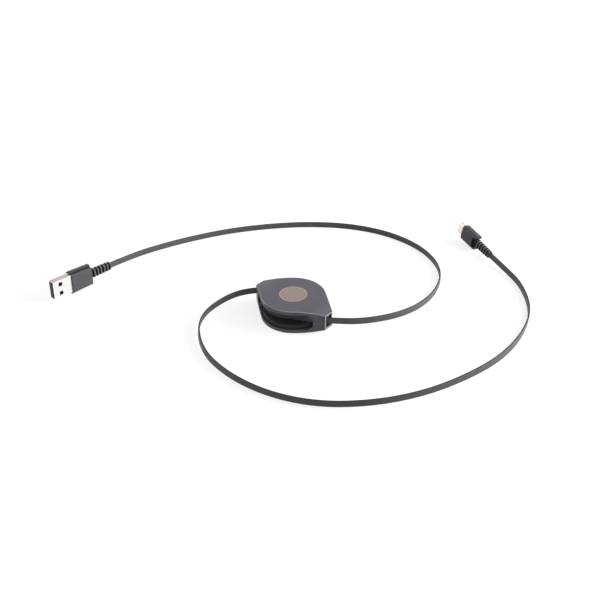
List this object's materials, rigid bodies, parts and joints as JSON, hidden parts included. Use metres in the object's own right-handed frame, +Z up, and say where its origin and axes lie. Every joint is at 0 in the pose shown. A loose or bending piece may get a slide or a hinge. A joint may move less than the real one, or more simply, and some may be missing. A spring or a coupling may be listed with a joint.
{
  "type": "retractable usb cable",
  "caption": "Flat retractable charging cable: a spring reel in a lens-shaped housing, with a ribbon to a USB-A plug and a ribbon to a USB-C plug.",
  "frame": {"origin": "middle of the reel housing's flat underside", "axes": "+Z up out of the top plate; +X along the housing's long axis, out of the mouth of the USB-A side"},
  "size_m": [0.2451, 0.2362, 0.0155],
  "materials": {
    "housing_plastic": "fine satin moulding",
    "badge_metal": "bronze anodised, brushed",
    "fastener_steel": "zinc plated",
    "spool_plastic": "black moulding",
    "spring_steel": "blued strip",
    "arm_plastic": "natural acetal",
    "cable_jacket": "satin flat jacket",
    "shell_steel": "nickel plated",
    "tongue_plastic": "black moulding",
    "contact_gold": "gold plated",
    "grip_plastic": "fine satin moulding",
    "relief_rubber": "soft moulding"
  },
  "bodies": {
    "reel": {"top_cover": "housing_plastic", "bottom_cover": "housing_plastic", "badge": "badge_metal", "cover_screw": "fastener_steel", "mainspring": "spring_steel", "cable_usb_a_side": "cable_jacket", "cable_usb_c_side": "cable_jacket", "usb_a_shell": "shell_steel", "usb_a_tongue": "tongue_plastic", "usb_a_contacts": "contact_gold", "usb_a_grip": "grip_plastic", "usb_a_strain_relief": "relief_rubber", "usb_c_shell": "shell_steel", "usb_c_insert": "tongue_plastic", "usb_c_contacts": "contact_gold", "usb_c_grip": "grip_plastic", "usb_c_strain_relief": "relief_rubber"},
    "spool": {"spool": "spool_plastic", "wound_turns": "cable_jacket"},
    "arm": {"ratchet_arm": "arm_plastic"}
  },
  "joints": [
    {"name": "spool_spin", "type": "hinge", "parent": "reel", "child": "spool", "pos_m": [0, 0, 0], "axis": [0, 0, 1], "range_deg": [-1440, 0]},
    {"name": "arm_swing", "type": "hinge", "parent": "reel", "child": "arm", "pos_m": [0.0076, 0.01316, 0], "axis": [0, 0, 1], "range_deg": [-4, 14]}
  ]
}
